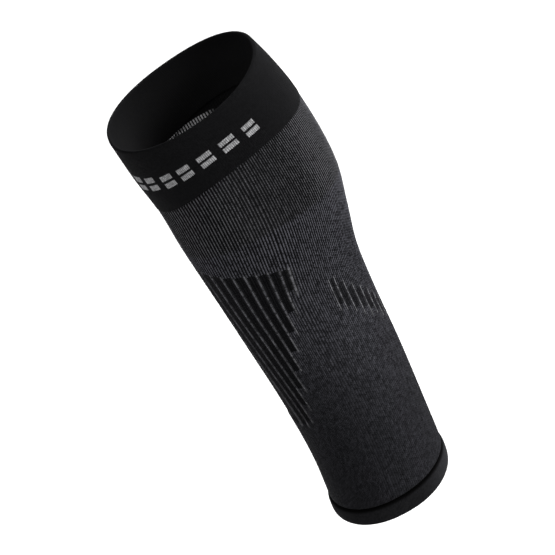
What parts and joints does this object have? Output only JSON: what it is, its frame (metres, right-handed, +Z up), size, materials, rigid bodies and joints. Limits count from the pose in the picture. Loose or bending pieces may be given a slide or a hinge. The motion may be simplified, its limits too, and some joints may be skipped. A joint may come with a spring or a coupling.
{
  "type": "compression leg warmer",
  "caption": "Knitted tube for the lower leg, open at knee and ankle, with a doubled cuff, a rolled hem and sunken bars at shin and calf.",
  "frame": {"origin": "on the leg's axis at the widest part of the calf, 240 mm above the ankle edge, where the leg carries the sleeve", "axes": "+Z up the leg towards the knee, -X towards the shin, +X towards the back of the calf"},
  "size_m": [0.1214, 0.106, 0.3269],
  "materials": {
    "cuff_knit": "smooth matte black knit, doubled",
    "rib_knit": "fine grey-on-black rib knit with sunken black bars",
    "hem_knit": "matte black knit, rolled"
  },
  "bodies": {
    "root": {"cuff": "cuff_knit", "calf_sleeve": "rib_knit", "ankle_hem": "hem_knit"}
  },
  "joints": []
}
